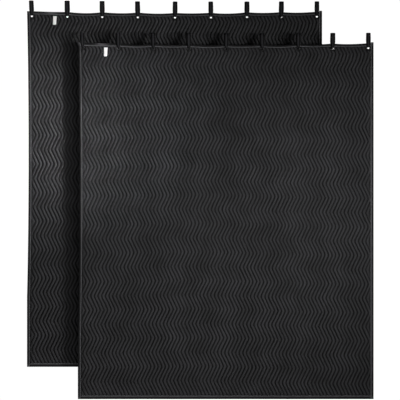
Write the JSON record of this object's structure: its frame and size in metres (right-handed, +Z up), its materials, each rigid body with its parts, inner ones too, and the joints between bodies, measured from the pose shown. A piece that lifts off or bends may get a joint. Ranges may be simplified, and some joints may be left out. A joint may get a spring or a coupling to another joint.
{
  "type": "pair of hung quilted sound dampening blankets",
  "caption": "Quilted sound dampening blankets with bound edges, hung by webbing straps through eyelets, one in front of and below the other.",
  "frame": {"origin": "on the line of the rod that the rear blanket's straps loop over, at the middle of that blanket's width", "axes": "+X to the right across the blankets, +Y to the back, +Z up"},
  "size_m": [2.384, 0.082, 2.736],
  "materials": {
    "quilt_cloth": "woven polyester with a slight sheen, stitched to its padding in zigzags",
    "binding_cloth": "tightly woven tape, folded and stitched",
    "strap_webbing": "flat woven webbing",
    "eyelet_metal": "pressed brass with black enamel",
    "label_cloth": "white satin tape, bare"
  },
  "bodies": {
    "root": {"rear_panel": "quilt_cloth", "rear_binding_left": "binding_cloth", "rear_binding_right": "binding_cloth", "rear_binding_top": "binding_cloth", "rear_binding_bottom": "binding_cloth", "rear_strap_1": "strap_webbing", "rear_eyelet_1": "eyelet_metal", "rear_strap_2": "strap_webbing", "rear_eyelet_2": "eyelet_metal", "rear_strap_3": "strap_webbing", "rear_eyelet_3": "eyelet_metal", "rear_strap_4": "strap_webbing", "rear_eyelet_4": "eyelet_metal", "rear_strap_5": "strap_webbing", "rear_eyelet_5": "eyelet_metal", "rear_strap_6": "strap_webbing", "rear_eyelet_6": "eyelet_metal", "rear_strap_7": "strap_webbing", "rear_eyelet_7": "eyelet_metal", "rear_strap_8": "strap_webbing", "rear_eyelet_8": "eyelet_metal", "rear_strap_9": "strap_webbing", "rear_eyelet_9": "eyelet_metal", "rear_label": "label_cloth", "front_panel": "quilt_cloth", "front_binding_left": "binding_cloth", "front_binding_right": "binding_cloth", "front_binding_top": "binding_cloth", "front_binding_bottom": "binding_cloth", "front_strap_1": "strap_webbing", "front_eyelet_1": "eyelet_metal", "front_strap_2": "strap_webbing", "front_eyelet_2": "eyelet_metal", "front_strap_3": "strap_webbing", "front_eyelet_3": "eyelet_metal", "front_strap_4": "strap_webbing", "front_eyelet_4": "eyelet_metal", "front_strap_5": "strap_webbing", "front_eyelet_5": "eyelet_metal", "front_strap_6": "strap_webbing", "front_eyelet_6": "eyelet_metal", "front_strap_7": "strap_webbing", "front_eyelet_7": "eyelet_metal", "front_strap_8": "strap_webbing", "front_eyelet_8": "eyelet_metal", "front_strap_9": "strap_webbing", "front_eyelet_9": "eyelet_metal", "front_label": "label_cloth"}
  },
  "joints": []
}
